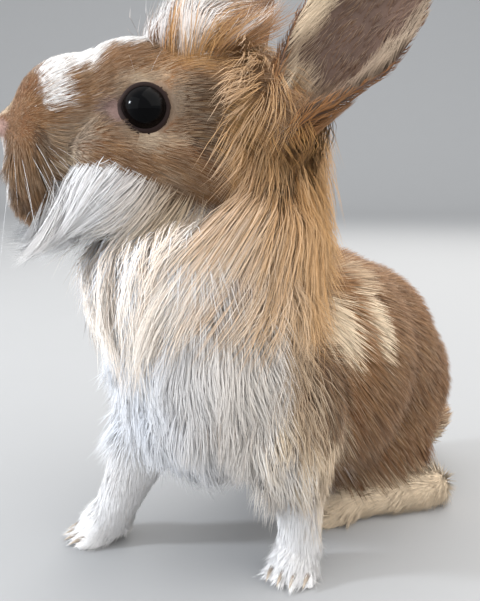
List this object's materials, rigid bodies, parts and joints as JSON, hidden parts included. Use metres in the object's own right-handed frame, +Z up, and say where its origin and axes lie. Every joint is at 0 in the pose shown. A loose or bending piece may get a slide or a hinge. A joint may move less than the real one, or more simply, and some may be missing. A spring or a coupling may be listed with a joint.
{
  "type": "lionhead rabbit",
  "caption": "Life-size still model of a lionhead rabbit sitting up on its forelegs with its head turned to its right.",
  "frame": {"origin": "on the floor, in the middle of the footprint box", "axes": "+Z up, -Y the way the body faces, +X the rabbit's left"},
  "size_m": [0.1232, 0.232, 0.2483],
  "materials": {
    "face_coat": "short brown fur",
    "body_coat": "chestnut fur",
    "mane": "long golden to cream fur",
    "white_coat": "white fur",
    "cream_coat": "cream fur",
    "ear_skin": "thin skin with short hair",
    "eye": "wet black-brown",
    "claw": "smooth horn"
  },
  "bodies": {
    "root": {"head": "face_coat", "neck": "mane", "torso": "body_coat", "tail": "cream_coat", "eye_left": "eye", "ear_left": "ear_skin", "foreleg_left": "white_coat", "forepaw_left": "white_coat", "hindleg_left": "body_coat", "hindfoot_left": "cream_coat", "claw_fore_left_1": "claw", "claw_fore_left_2": "claw", "claw_fore_left_3": "claw", "claw_fore_left_4": "claw", "claw_hind_left_1": "claw", "claw_hind_left_2": "claw", "claw_hind_left_3": "claw", "eye_right": "eye", "ear_right": "ear_skin", "foreleg_right": "white_coat", "forepaw_right": "white_coat", "hindleg_right": "body_coat", "hindfoot_right": "cream_coat", "claw_fore_right_1": "claw", "claw_fore_right_2": "claw", "claw_fore_right_3": "claw", "claw_fore_right_4": "claw", "claw_hind_right_1": "claw", "claw_hind_right_2": "claw", "claw_hind_right_3": "claw"}
  },
  "joints": []
}
